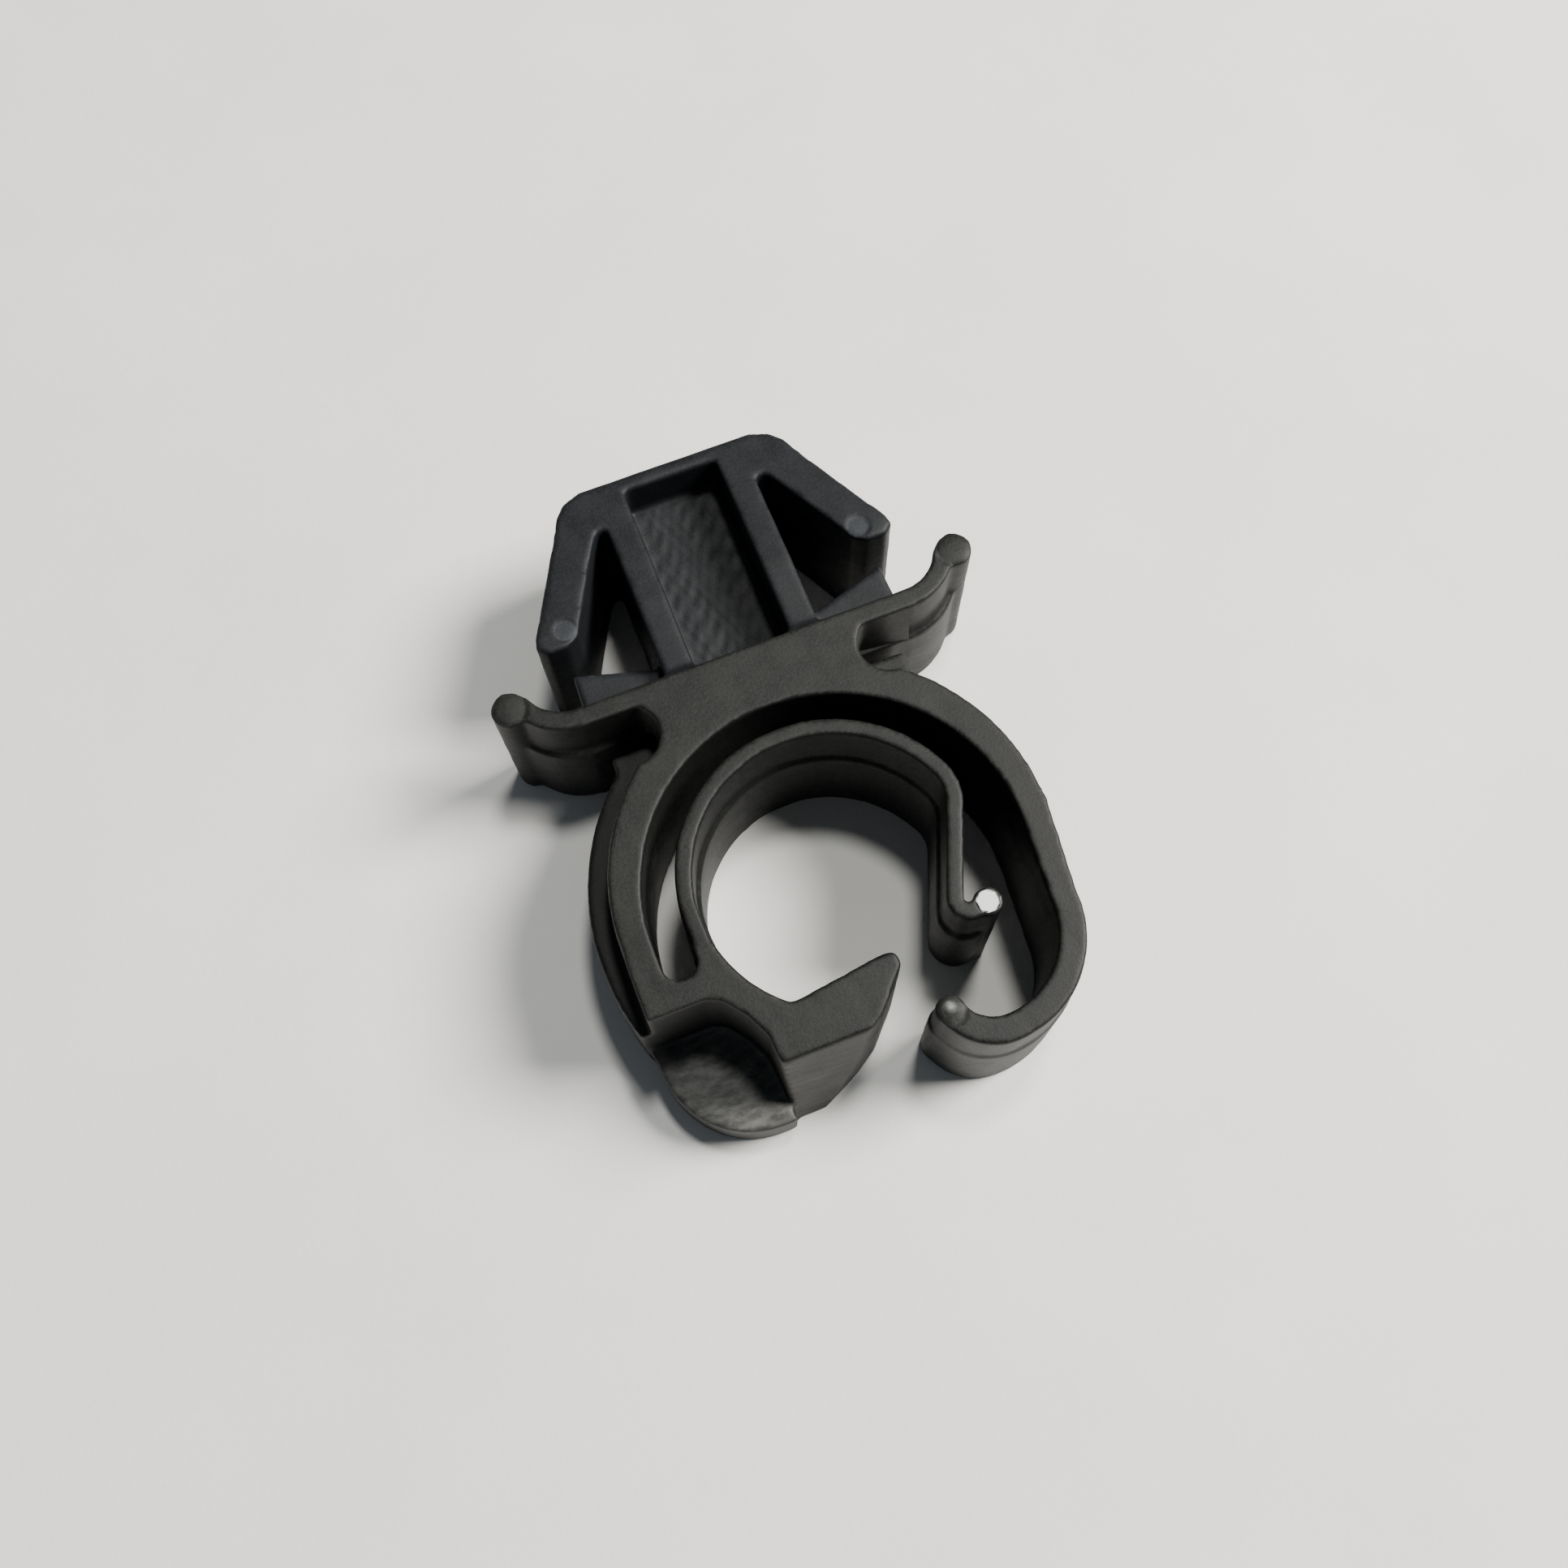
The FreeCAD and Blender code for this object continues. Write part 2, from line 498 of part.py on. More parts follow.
def make_flange():
    """Crossbar between anchor and ring, with the arms that carry the wings."""
    slot = disc("flange_slot", "slot_r", "0", "slot_y", UNDER, REACH)
    upper = cut("flange_upper",
                block("flange_high_block", "-notch_x", "notch_x", "slot_r / 2", "flange_y",
                      "step_level", "full_depth"),
                disc("notch_right", "notch_r", "notch_x", "notch_y", UNDER, REACH),
                disc("notch_left", "notch_r", "-notch_x", "notch_y", UNDER, REACH))
    lower = cut("flange_lower",
                block("flange_low_block", "-notch_x", "notch_x", "slot_r / 2", "flange_y",
                      "0", "step_level"),
                block("relief_right", "notch_x - notch_r", REACH, "foot_y", "relief_y", UNDER, REACH),
                block("relief_left", "-" + REACH, "-notch_x + notch_r", "foot_y", "relief_y", UNDER, REACH))
    arms = [block("arms_high", "-arm_x", "arm_x", "flange_y - arm_wall", "flange_y",
                  "step_level", "full_depth"),
            block("arms_low", "-arm_x", "arm_x", "relief_y", "flange_y", "0", "step_level")]
    right_socket = wing_knuckle("wing_socket_right", "knuckle_gap")
    return cut("flange", fuse("flange_solid", upper, lower, *arms), slot, right_socket,
               mirror("wing_socket_left", right_socket))


def make_wing():
    """Curved wing that presses on the panel, with a round bead along its edge."""
    centre_y = "flange_y + wing_r"
    parts = [wing_knuckle("wing_knuckle", "0")]
    for tier, step, low, high in (("low", "arm_step", "0", "step_level"),
                                  ("high", "0", "step_level", "full_depth")):
        parts.append(arc(f"wing_arc_{tier}", "arm_x", centre_y, "wing_r",
                         f"wing_r + arm_wall + {step}", "270", "wing_sweep", low, high))
    parts.append(disc("wing_bead", "wing_bead_r",
                      "arm_x + (wing_r + arm_wall) * sin(wing_sweep * 1deg)",
                      "flange_y + wing_r - (wing_r + arm_wall) * cos(wing_sweep * 1deg)",
                      "0", "full_depth"))
    return fuse("wing_right", *parts)


def make_seat_pad():
    return plate("seat_pad_right", (("rib_out", "flange_y"), ("pad_x + pad_lean", "flange_y"),
                                    ("pad_x", "flange_y + pad_tip_rise"),
                                    ("rib_out", "flange_y + pad_rise")),
                 "0", "pad_top")


# ---- anchor: nose, ribs, web and barbs -------------------------------------------------------


def taper(label):
    """Tool that slopes the anchor's top down to the nose."""
    return side_cutter(label, (("flange_y", "anchor_top"), ("taper_y", "anchor_top"),
                               ("nose_y", "nose_top"), (REACH, "nose_top"),
                               (REACH, "anchor_top + 1"), ("flange_y", "anchor_top + 1")))


def barb_knuckle(label, grow):
    return disc(label, f"barb_wall / 2 + knuckle_swell + {grow}", "barb_x", "barb_y",
                "0", "anchor_top")


def make_barb():
    """Arrow barb, drawn along its own length from the flexing line."""
    half = "barb_wall / 2"
    corners = ((0, half), ("barb_length - tip_bevel", half),
               ("barb_length - tip_soft", f"{half} - tip_edge"),
               ("barb_length", f"{half} - tip_bevel"),
               ("barb_length - heel_soft", f"heel_edge - {half}"),
               ("barb_length - heel_bevel", f"-{half}"), (0, f"-{half}"))
    blade = plate("barb_blade", corners, "0", "anchor_top", "barb_x", "barb_y", "barb_lean - 90")
    return cut("barb_right", fuse("barb_solid", blade, barb_knuckle("barb_knuckle", "0")),
               taper("barb_taper"))


def make_nose():
    right = (("rib_out", "nose_y - nose_wall"), ("rib_out", "gap_y"),
             ("rib_out + gap_round", "gap_y"),
             ("barb_x - barb_wall / 2 * cos(barb_lean * 1deg)",
              "barb_y - barb_wall / 2 * sin(barb_lean * 1deg)"),
             ("barb_x + barb_wall / 2 * cos(barb_lean * 1deg)",
              "barb_y + barb_wall / 2 * sin(barb_lean * 1deg)"),
             ("nose_corner_x", "nose_corner_y"),
             ("(nose_flat_x + nose_corner_x) / 2 + round_out", "nose_y - round_back"),
             ("nose_flat_x", "nose_y"))
    left = tuple((f"-({x})", y) for x, y in reversed(right))
    socket = barb_knuckle("barb_socket_right", "knuckle_gap")
    return cut("nose_bridge", plate("nose_blank", right + left, "0", "anchor_top"), socket,
               mirror("barb_socket_left", socket), taper("nose_taper"))


def make_rib():
    bar = block("rib_bar", "rib_in", "rib_out", "flange_y", "nose_y - nose_wall",
                "0", "anchor_top")
    return cut("rib_right", bar, taper("rib_taper"))


def make_web():
    return block("floor_web", "-rib_in", "rib_in", "flange_y", "nose_y - nose_wall",
                 "web_low", "step_level")


# ---- the clip --------------------------------------------------------------------------------

barb_right = make_barb()
rib_right = make_rib()
wing_right = make_wing()
seat_pad_right = make_seat_pad()
members = [make_nose(), rib_right, mirror("rib_left", rib_right), make_web(),
           make_flange(), seat_pad_right, mirror("seat_pad_left", seat_pad_right),
           make_ring_wall(), make_heel(), make_jaw(), make_thumb_pad(), make_shoulder(),
           make_guard_arm(), *make_finger(),
           wing_right, mirror("wing_left", wing_right),
           barb_right, mirror("barb_left", barb_right)]
doc.recompute()

for thing in doc.Objects:
    if "Invalid" in thing.State or "Error" in thing.State:
        raise RuntimeError(f"{thing.Label} did not build: {thing.State}")

os.makedirs("parts", exist_ok=True)
for member in members:
    shape = member.Shape
    if shape.isNull() or not shape.isValid() or not shape.Solids:
        raise RuntimeError(f"{member.Label} has no valid solid")
    print(f"{member.Label:16s} solids {len(shape.Solids)}  volume {shape.Volume:8.2f} mm3")
    shape.exportStep(f"parts/{member.Label}.step")
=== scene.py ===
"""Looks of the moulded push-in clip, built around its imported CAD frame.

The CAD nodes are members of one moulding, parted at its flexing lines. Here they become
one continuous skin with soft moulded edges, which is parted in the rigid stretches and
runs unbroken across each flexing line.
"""
import math

import bmesh
import bpy
import numpy as np
from mathutils import Matrix, Vector


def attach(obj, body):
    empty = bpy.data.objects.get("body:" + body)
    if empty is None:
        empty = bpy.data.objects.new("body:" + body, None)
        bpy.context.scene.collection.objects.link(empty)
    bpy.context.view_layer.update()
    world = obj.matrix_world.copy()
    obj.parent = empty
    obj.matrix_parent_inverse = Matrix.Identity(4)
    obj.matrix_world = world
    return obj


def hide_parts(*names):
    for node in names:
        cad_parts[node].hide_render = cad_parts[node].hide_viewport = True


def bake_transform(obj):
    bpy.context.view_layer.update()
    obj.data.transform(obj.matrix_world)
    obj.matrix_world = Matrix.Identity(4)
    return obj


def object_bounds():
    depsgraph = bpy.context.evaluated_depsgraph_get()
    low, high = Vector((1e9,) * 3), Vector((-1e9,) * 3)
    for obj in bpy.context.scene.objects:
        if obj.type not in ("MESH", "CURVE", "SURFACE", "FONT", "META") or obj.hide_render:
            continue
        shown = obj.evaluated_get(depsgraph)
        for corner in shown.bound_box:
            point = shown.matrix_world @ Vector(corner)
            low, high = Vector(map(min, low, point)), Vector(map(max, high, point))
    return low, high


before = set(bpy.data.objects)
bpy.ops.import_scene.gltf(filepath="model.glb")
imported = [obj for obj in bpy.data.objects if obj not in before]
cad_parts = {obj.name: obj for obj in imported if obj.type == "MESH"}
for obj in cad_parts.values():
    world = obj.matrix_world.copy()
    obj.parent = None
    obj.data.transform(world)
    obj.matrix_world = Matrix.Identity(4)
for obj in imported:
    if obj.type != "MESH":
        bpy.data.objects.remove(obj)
cad_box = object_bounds()

MM = 0.001
VOXEL = 0.1            # mm, size of the skin's faces
SMOOTH_ROUNDS = 7      # soft edges of about 0.2 mm

# ---- sizes that the plugs and cuts share with the CAD model, in mm ---------------------------
SEAT_R, FINGER_OUT, FINGER_STEP = 5.5, 6.2, 0.2
LEDGE, TOP = 5.0, 7.6
HINGES = {"root": 186, "crown": 112, "tip": 42}      # degrees round the seat
HINGE_REACH = 7                                      # degrees filled on each side of them
PANEL_FACE = 9.95                                    # the flange's face towards the sheet
ARM_X, ARM_WALL, ARM_STEP, WING_R = 7.1, 0.85, 0.3, 1.9
BARB_HINGE = (4.75, 17.37)
BARB_HALF_WALL = 0.85
BARB_LEAN = math.radians(27.4)
BARB_WAY = (math.sin(BARB_LEAN), -math.cos(BARB_LEAN))
ANCHOR_TOP, TAPER_Y, TAPER_DROP, TAPER_RUN = 7.35, 13.4, 0.4, 6.0
OVERLAP = 0.2                                        # how far stacked plugs reach into each other

# ---- places of the moulding's marks and beads, in mm -----------------------------------------
PIN_MARKS, PIN_R = ((6.45, 13.4), (-6.45, 13.4)), 0.5
FINGER_BEAD, GUARD_BEAD = (4.99, -3.41), (2.02, -6.75)
WING_BEAD = (9.667, 10.864)
THUMB_FLOOR = (-5.6, -5.0)


def anchor_top(y):
    """Height of the anchor's sloping top at y."""
    return ANCHOR_TOP - max(0.0, y - TAPER_Y) * TAPER_DROP / TAPER_RUN


# ---- closed solids that fill the hinge gaps --------------------------------------------------

def prism(points, low, high):
    """Corners and faces of a straight slab. high is a number or a function of y."""
    top = high if callable(high) else (lambda y: high)
    count = len(points)
    corners = [(x, y, low) for x, y in points] + [(x, y, top(y)) for x, y in points]
    faces = [tuple(reversed(range(count))), tuple(range(count, 2 * count))]
    for i in range(count):
        j = (i + 1) % count
        faces.append((i, j, count + j, count + i))
    return corners, faces


def sector(cx, cy, inner, outer, start, end, low, high, steps=12):
    angles = [math.radians(start + (end - start) * i / steps) for i in range(steps + 1)]
    outer_edge = [(cx + outer * math.cos(a), cy + outer * math.sin(a)) for a in angles]
    inner_edge = [(cx + inner * math.cos(a), cy + inner * math.sin(a)) for a in angles]
    return prism(outer_edge + inner_edge[::-1], low, high)


def flipped(points):
    return [(-x, y) for x, y in reversed(points)]


def finger_plugs():
    made = []
    for name, angle in HINGES.items():
        end = angle + (0 if name == "root" else HINGE_REACH)
        made.append(sector(0, 0, SEAT_R - FINGER_STEP, FINGER_OUT, angle - HINGE_REACH, end,
                           0, LEDGE))
        made.append(sector(0, 0, SEAT_R, FINGER_OUT, angle - HINGE_REACH, angle + HINGE_REACH,
                           0, TOP))
    return made


def guard_plugs():
    """The guard arm's wall across its flexing line, lower and upper tier."""
    inner = [(7.56, 0.4), (7.6, -0.4)]
    lower = [(7.53, -1.2), (9.04, -1.2), (9.2, -0.4), (9.198, 0.4)]
    upper = [(7.53, -1.2), (8.71, -1.2), (8.8, -0.4), (8.79, 0.4)]
    return [prism(lower + inner, 0, LEDGE), prism(upper + inner, LEDGE - OVERLAP, TOP)]


def wing_plugs(side):
    """An arm's end and the first stretch of its wing's arc."""
    made = []
    for low, high, step_out in ((0, LEDGE, ARM_STEP), (LEDGE - OVERLAP, TOP, 0.0)):
        bottom = PANEL_FACE - ARM_WALL - step_out
        block = [(6.3, bottom), (7.12, bottom), (7.12, PANEL_FACE), (6.3, PANEL_FACE)]
        made.append(prism(block if side > 0 else flipped(block), low, high))
        start, end = (270, 284) if side > 0 else (256, 270)
        made.append(sector(side * ARM_X, PANEL_FACE + WING_R, WING_R,
                           WING_R + ARM_WALL + step_out, start, end, low, high))
    return made


def barb_plugs(side):
    """The nose's corner behind a barb's knuckle, and the barb's first stretch."""
    nose = [(3.7, 17.27), (3.995, 16.979), (5.505, 17.761), (5.1, 18.57), (4.6, 18.75),
            (3.9, 18.3)]
    blade = []
    for along, across in ((-0.2, -BARB_HALF_WALL), (1.1, -BARB_HALF_WALL),
                          (1.1, BARB_HALF_WALL), (-0.2, BARB_HALF_WALL)):
        blade.append((BARB_HINGE[0] + along * BARB_WAY[0] - across * BARB_WAY[1],
                      BARB_HINGE[1] + along * BARB_WAY[1] + across * BARB_WAY[0]))
    return [prism(outline if side > 0 else flipped(outline), 0, anchor_top)
            for outline in (nose, blade)]


def plugs():
    made = finger_plugs() + guard_plugs()
    for side in (1, -1):
        made += wing_plugs(side) + barb_plugs(side)
    return made


# ---- the skin --------------------------------------------------------------------------------

def raw_skin():
    """All CAD nodes and the plugs in one mesh, in mm."""
    bm = bmesh.new()
    for name in sorted(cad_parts):
        piece = bmesh.new()
        piece.from_mesh(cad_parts[name].data)
        bmesh.ops.remove_doubles(piece, verts=piece.verts, dist=1e-6)
        piece.transform(Matrix.Scale(1 / MM, 4))
        carrier = bpy.data.meshes.new("carrier")
        piece.to_mesh(carrier)
        piece.free()
        bm.from_mesh(carrier)
        bpy.data.meshes.remove(carrier)
    for corners, faces in plugs():
        verts = [bm.verts.new(c) for c in corners]
        for f in faces:
            bm.faces.new([verts[i] for i in f])
    bmesh.ops.recalc_face_normals(bm, faces=bm.faces)
    mesh = bpy.data.meshes.new("raw_skin")
    bm.to_mesh(mesh)
    bm.free()
    return mesh


def remeshed(mesh, voxel):
    carrier = bpy.data.objects.new("remesh_carrier", mesh)
    bpy.context.scene.collection.objects.link(carrier)
    modifier = carrier.modifiers.new("voxels", "REMESH")
    modifier.mode = "VOXEL"
    modifier.voxel_size = voxel
    modifier.adaptivity = 0.0
    depsgraph = bpy.context.evaluated_depsgraph_get()
    result = bpy.data.meshes.new_from_object(carrier.evaluated_get(depsgraph))
    bpy.data.objects.remove(carrier)
    bpy.data.meshes.remove(mesh)
    return result


def coordinates(mesh):
    co = np.empty(len(mesh.vertices) * 3)
    mesh.vertices.foreach_get("co", co)
    return co.reshape(-1, 3)


def normals(mesh):
    no = np.empty(len(mesh.vertices) * 3)
    mesh.vertex_normals.foreach_get("vector", no)
    return no.reshape(-1, 3)


def set_coordinates(mesh, co):
    mesh.vertices.foreach_set("co", co.astype(np.float32).ravel())
    mesh.update()


def smooth(mesh, rounds, share=0.5):
    edges = np.empty(len(mesh.edges) * 2, dtype=np.int64)
    mesh.edges.foreach_get("vertices", edges)
    a, b = edges.reshape(-1, 2).T
    count = len(mesh.vertices)
    degree = np.bincount(a, minlength=count) + np.bincount(b, minlength=count)
    co = coordinates(mesh)
    for _ in range(rounds):
        total = np.empty_like(co)
        for axis in range(3):
            total[:, axis] = (np.bincount(a, co[b, axis], count)
                              + np.bincount(b, co[a, axis], count))
        co += share * (total / degree[:, None] - co)
    set_coordinates(mesh, co)


def step(value, low, high):
    t = np.clip((value - low) / (high - low), 0, 1)
    return t * t * (3 - 2 * t)


def wave(co, size, seed):
    """Smooth noise from a few sums of waves, between about -1 and 1."""
    rng = np.random.RandomState(seed)
    total = np.zeros(len(co))
    for _ in range(6):
        way = rng.normal(size=3)
        way /= np.linalg.norm(way)
        total += np.sin(co @ way * (2 * math.pi / size) * rng.uniform(0.7, 1.5)
                        + rng.uniform(0, 6.28))
    return total / 3


def distance_from(co, place):
    return np.hypot(co[:, 0] - place[0], co[:, 1] - place[1])


def mould_marks(mesh):
    """Ejector-pin marks, domed beads and the slight unevenness of a moulding."""
    co, no = coordinates(mesh), normals(mesh)
    facing_up = step(no[:, 2], 0.3, 0.8)
    upward = facing_up * (co[:, 2] > 6.0)
    for place in PIN_MARKS:
        co[:, 2] -= upward * 0.05 * (1 - step(distance_from(co, place), PIN_R - 0.04,
                                              PIN_R + 0.04))
    for place, radius, fall in ((GUARD_BEAD, 0.66, 0.06), (WING_BEAD, 0.75, 0.07),
                                ((-WING_BEAD[0], WING_BEAD[1]), 0.75, 0.07)):
        r = distance_from(co, place)
        co[:, 2] -= upward * (r < radius) * fall * (r / radius) ** 2
    level = (distance_from(co, FINGER_BEAD) < 0.52) & (co[:, 2] > 7.2)
    co[level, 2] = TOP - 0.015
    recess = (facing_up * (abs(co[:, 0]) < 1.85) * (co[:, 2] < LEDGE + 0.3)
              * (abs(co[:, 1] - 14.3) < 4.1))
    co[:, 2] += recess * 0.014 * (wave(co, 1.1, 9) + wave(co, 0.5, 12))
    co += no * (0.008 * wave(co, 2.2, 3) + 0.004 * wave(co, 0.8, 5))[:, None]
    low, high = np.array(cad_box[0]) / MM, np.array(cad_box[1]) / MM
    set_coordinates(mesh, np.clip(co, low, high))


# ---- parting the skin ------------------------------------------------------------------------

def polar_plane(angle):
    a = math.radians(angle)
    return (0, 0, 0), (-math.sin(a), math.cos(a), 0)


ROOT_CUT_Y, GUARD_CUT_Y, WING_CUT_X, PANEL_Y = -1.25, 0.95, 6.97, 9.98
MID_ROOT, MID_CROWN = 150, 77
BARB_CUT = -0.45
CUT_SNAP = 0.02         # vertices this near a plane count as on it


def angle_of(p):
    return math.degrees(math.atan2(p[1], p[0])) % 360


def barb_along(p, side):
    return ((side * p[0] - BARB_HINGE[0]) * BARB_WAY[0]
            + (p[1] - BARB_HINGE[1]) * BARB_WAY[1])


def cuts():
    """Each parting plane with the region in which it cuts."""
    made = [((0, ROOT_CUT_Y, 0), (0, 1, 0),
             lambda p: -6.7 < p[0] < -4.9 and -1.9 < p[1] < -0.6)]
    for angle in (MID_ROOT, MID_CROWN):
        point, normal = polar_plane(angle)
        made.append((point, normal, lambda p, a=angle: math.hypot(p[0], p[1]) < 6.65
                     and abs(angle_of(p) - a) < 6))
    made.append(((0, GUARD_CUT_Y, 0), (0, 1, 0),
                 lambda p: 7.2 < p[0] and 0.2 < p[1] < 1.7))
    for side in (1, -1):
        made.append(((side * WING_CUT_X, 0, 0), (1, 0, 0),
                     lambda p, s=side: 6.5 < s * p[0] < 7.5 and 8.5 < p[1] < 12.0))
        along = (side * BARB_WAY[0], BARB_WAY[1], 0)
        point = (side * (BARB_HINGE[0] + BARB_CUT * BARB_WAY[0]),
                 BARB_HINGE[1] + BARB_CUT * BARB_WAY[1], 0)
        made.append((point, along, lambda p, s=side: s * p[0] > 3.45 and 16.4 < p[1] < 18.9))
    made.append(((0, PANEL_Y, 0), (0, 1, 0),
                 lambda p: abs(p[0]) < WING_CUT_X and 9.5 < p[1] < 10.5))
    return made


def region(p):
    """Name of the member that a point of the skin belongs to."""
    x, y = p[0], p[1]
    side = 1 if x > 0 else -1
    if y > PANEL_Y and abs(x) < WING_CUT_X:
        if abs(x) > 3.45 and y > 12.2 and barb_along(p, side) > BARB_CUT:
            return "barb_right" if side > 0 else "barb_left"
        return "anchor"
    if abs(x) > WING_CUT_X and 8.5 < y < 12.15:
        return "wing_right" if side > 0 else "wing_left"
    if y > 12.15:
        return "barb_right" if side > 0 else "barb_left"
    r = math.hypot(x, y)
    if x <= 0 and ROOT_CUT_Y < y and r < 6.65 or x > 0 and y > 0 and r < 6.65 \
            or 2.9 < x and -4.65 < y <= 0 and r < 6.9:
        angle = angle_of(p)
        if MID_ROOT < angle < 270:
            return "finger_root"
        return "finger_crown" if MID_CROWN < angle < 270 else "finger_tip"
    if x > 1.04 and y < GUARD_CUT_Y:
        return "guard"
    return "ring"


def parted(mesh):
    """One closed mesh for each region, in metres."""
    bm = bmesh.new()
    bm.from_mesh(mesh)
    for point, normal, near in cuts():
        verts = [v for v in bm.verts if near(v.co)]
        chosen = set(verts)
        faces = [f for f in bm.faces if all(v in chosen for v in f.verts)]
        edges = list({e for f in faces for e in f.edges})
        bmesh.ops.bisect_plane(bm, geom=verts + edges + faces, dist=CUT_SNAP,
                               plane_co=point, plane_no=normal)
    names = [region(f.calc_center_median()) for f in bm.faces]
    order = sorted(set(names))
    layer = bm.faces.layers.int.new("member")
    for face, name in zip(bm.faces, names):
        face[layer] = order.index(name)
        face.smooth = True
    pieces = {}
    for index, name in enumerate(order):
        part = bm.copy()
        tag = part.faces.layers.int["member"]
        bmesh.ops.delete(part, geom=[f for f in part.faces if f[tag] != index], context="FACES")
        rim = [e for e in part.edges if len(e.link_faces) == 1]
        for edge in rim:
            edge.smooth = False
        made = bmesh.ops.holes_fill(part, edges=rim, sides=0)
        for face in made["faces"]:
            face.smooth = False
        part.faces.layers.int.remove(part.faces.layers.int["member"])
        part.transform(Matrix.Scale(MM, 4))
        pieces[name] = bpy.data.meshes.new(name + "_skin")
        part.to_mesh(pieces[name])
        part.free()
    bm.free()
    return pieces


# ---- materials -------------------------------------------------------------------------------

def new_material(name):
    material = bpy.data.materials.new(name)
    material.use_nodes = True
    tree = material.node_tree
    return material, tree, tree.nodes["Principled BSDF"]


def noise(tree, coords, scale, detail=4.0, rough=0.55):
    node = tree.nodes.new("ShaderNodeTexNoise")
    node.inputs["Scale"].default_value = scale
    node.inputs["Detail"].default_value = detail
    node.inputs["Roughness"].default_value = rough
    tree.links.new(coords, node.inputs["Vector"])
    return node.outputs["Fac"]


def ramp(tree, value, stops):
    node = tree.nodes.new("ShaderNodeValToRGB")
    elements = node.color_ramp.elements
    while len(elements) < len(stops):
        elements.new(0.5)
    for element, (position, colour) in zip(elements, stops):
        element.position = position
        element.color = (*colour, 1)
    tree.links.new(value, node.inputs["Fac"])
    return node.outputs["Color"]


def remap(tree, value, low, high, to_low, to_high):
    node = tree.nodes.new("ShaderNodeMapRange")
    for key, number in (("From Min", low), ("From Max", high), ("To Min", to_low),
                        ("To Max", to_high)):
        node.inputs[key].default_value = number
    tree.links.new(value, node.inputs["Value"])
    return node.outputs["Result"]


def maths(tree, operation, a, b):
    node = tree.nodes.new("ShaderNodeMath")
    node.operation = operation
    for socket, value in zip(node.inputs, (a, b)):
        if isinstance(value, (int, float)):
            socket.default_value = value
        else:
            tree.links.new(value, socket)
    return node.outputs["Value"]


def bump(tree, height, strength, distance, under=None):
    node = tree.nodes.new("ShaderNodeBump")
    node.inputs["Strength"].default_value = strength
    node.inputs["Distance"].default_value = distance
    tree.links.new(height, node.inputs["Height"])
    if under is not None:
        tree.links.new(under, node.inputs["Normal"])
    return node.outputs["Normal"]


def near_points(tree, position, points, radius, soft):
    """1 within a radius (mm) of any of the points, seen along Z, fading to 0 past it."""
    total = None
    for x, y in points:
        offset = tree.nodes.new("ShaderNodeVectorMath")
        offset.operation = "SUBTRACT"
        tree.links.new(position, offset.inputs[0])
        offset.inputs[1].default_value = (x * MM, y * MM, 0)
        flat = tree.nodes.new("ShaderNodeVectorMath")
        flat.operation = "MULTIPLY"
        tree.links.new(offset.outputs["Vector"], flat.inputs[0])
        flat.inputs[1].default_value = (1, 1, 0)
        length = tree.nodes.new("ShaderNodeVectorMath")
        length.operation = "LENGTH"
        tree.links.new(flat.outputs["Vector"], length.inputs[0])
        spot = remap(tree, length.outputs["Value"], (radius - soft) * MM, (radius + soft) * MM,
                     1, 0)
        total = spot if total is None else maths(tree, "MAXIMUM", total, spot)
    return total


def mixed_colour(tree, factor, a, b):
    node = tree.nodes.new("ShaderNodeMix")
    node.data_type = "RGBA"
    tree.links.new(factor, node.inputs["Factor"])
    for socket, value in ((node.inputs["A"], a), (node.inputs["B"], b)):
        if isinstance(value, tuple):
            socket.default_value = (*value, 1)
        else:
            tree.links.new(value, socket)
    return node.outputs["Result"]


def times(tree, a, b):
    return maths(tree, "MULTIPLY", a, b)


def scaled(colour, factor):
    return tuple(factor * c for c in colour)


def coordinate_z(tree, vector):
    node = tree.nodes.new("ShaderNodeSeparateXYZ")
    tree.links.new(vector, node.inputs["Vector"])
    return node.outputs["Z"]


def thumb_streaks_and_painted_light(tree, coords, upward):
    """Lighter, streaky floor of the thumb pad: the streaks are rubbing marks, the lightening is
    painted light where light falls on the pad floor.
    """
    low = remap(tree, coordinate_z(tree, coords), 2.5 * MM, 3.0 * MM, 1, 0)
    thumb = times(tree, times(tree, upward, low),
                  near_points(tree, coords, (THUMB_FLOOR,), 3.2, 0.8))
    streaks = tree.nodes.new("ShaderNodeMapping")
    streaks.inputs["Rotation"].default_value = (0, 0, math.radians(40))
    streaks.inputs["Scale"].default_value = (0.6, 1.3, 1.0)
    tree.links.new(coords, streaks.inputs["Vector"])
    rubbed = remap(tree, noise(tree, streaks.outputs["Vector"], 2600, 4, 0.6),
                   0.36, 0.7, 0.3, 1)
    return times(tree, thumb, rubbed)


def polished(tree, coords, upward):
    """Smooth tops of the finger's bead and, less so, of the guard arm's bead."""
    finger = near_points(tree, coords, (FINGER_BEAD,), 0.5, 0.06)
    guard = times(tree, near_points(tree, coords, (GUARD_BEAD,), 0.42, 0.15), 0.7)
    return times(tree, upward, maths(tree, "MAXIMUM", finger, guard))


